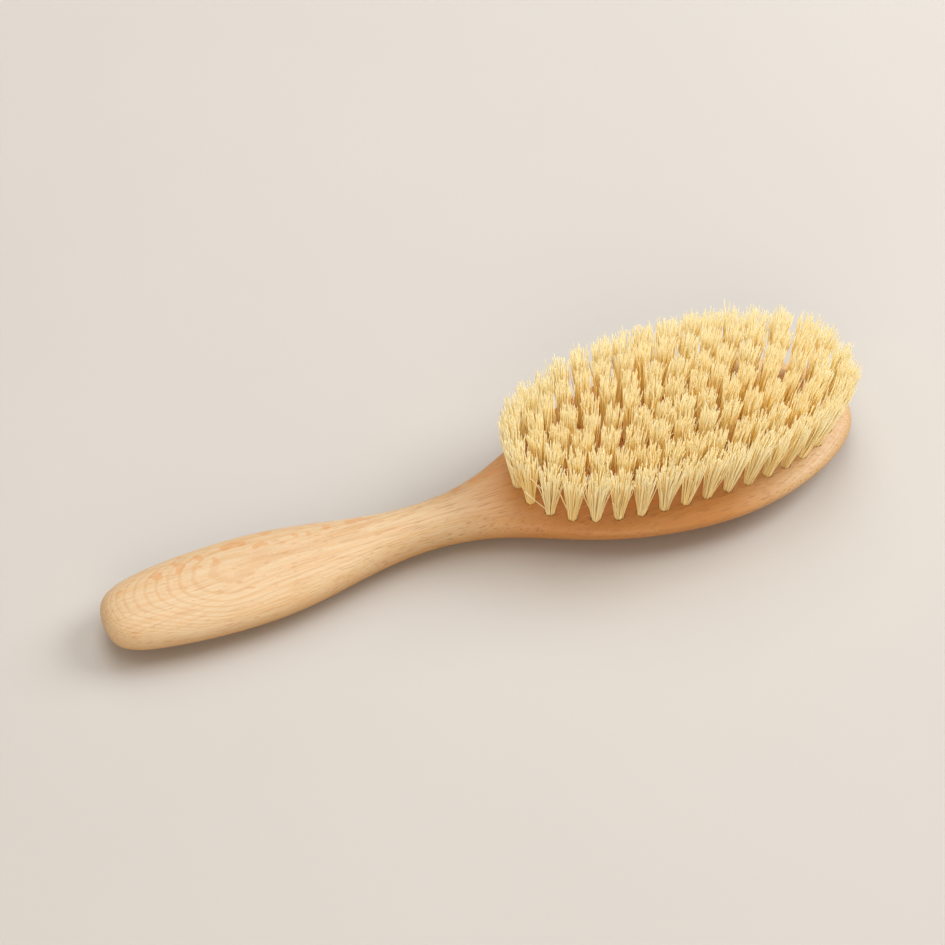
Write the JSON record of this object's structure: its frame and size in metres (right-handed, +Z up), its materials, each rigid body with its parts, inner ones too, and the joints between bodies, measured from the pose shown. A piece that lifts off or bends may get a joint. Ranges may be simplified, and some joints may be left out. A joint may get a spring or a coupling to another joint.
{
  "type": "clothes brush",
  "caption": "Wooden clothes brush with a rounded grip, a slim neck and an oval head whose blind holes hold rows of fanned natural-fibre tufts on wire anchors.",
  "frame": {"origin": "middle of the base of the whole brush, on the surface that it lies on", "axes": "+X from the end of the grip to the tip of the head, +Y across, +Z up out of the bristle side"},
  "size_m": [0.236, 0.0632, 0.036],
  "materials": {
    "beech": "oiled",
    "fibre": "matte natural fibre",
    "anchor_wire": "drawn flat wire"
  },
  "bodies": {
    "root": {"wooden_body": "beech", "tufts_middle_1": "fibre", "tufts_middle_2": "fibre", "tufts_middle_3": "fibre", "tufts_middle_4": "fibre", "tufts_outer_1": "fibre", "tufts_outer_2": "fibre", "tufts_outer_3": "fibre", "tufts_outer_4": "fibre", "tufts_outer_5": "fibre", "tufts_outer_6": "fibre", "tufts_outer_7": "fibre", "tufts_outer_8": "fibre", "tufts_outer_9": "fibre", "tufts_second_1": "fibre", "tufts_second_2": "fibre", "tufts_second_3": "fibre", "tufts_second_4": "fibre", "tufts_second_5": "fibre", "tufts_second_6": "fibre", "tufts_second_7": "fibre", "tufts_second_8": "fibre", "tufts_third_1": "fibre", "tufts_third_2": "fibre", "tufts_third_3": "fibre", "tufts_third_4": "fibre", "tufts_third_5": "fibre", "tufts_third_6": "fibre", "anchors_middle_1": "anchor_wire", "anchors_middle_2": "anchor_wire", "anchors_middle_3": "anchor_wire", "anchors_middle_4": "anchor_wire", "anchors_outer_1": "anchor_wire", "anchors_outer_2": "anchor_wire", "anchors_outer_3": "anchor_wire", "anchors_outer_4": "anchor_wire", "anchors_outer_5": "anchor_wire", "anchors_outer_6": "anchor_wire", "anchors_outer_7": "anchor_wire", "anchors_outer_8": "anchor_wire", "anchors_outer_9": "anchor_wire", "anchors_second_1": "anchor_wire", "anchors_second_2": "anchor_wire", "anchors_second_3": "anchor_wire", "anchors_second_4": "anchor_wire", "anchors_second_5": "anchor_wire", "anchors_second_6": "anchor_wire", "anchors_second_7": "anchor_wire", "anchors_second_8": "anchor_wire", "anchors_third_1": "anchor_wire", "anchors_third_2": "anchor_wire", "anchors_third_3": "anchor_wire", "anchors_third_4": "anchor_wire", "anchors_third_5": "anchor_wire", "anchors_third_6": "anchor_wire"}
  },
  "joints": []
}
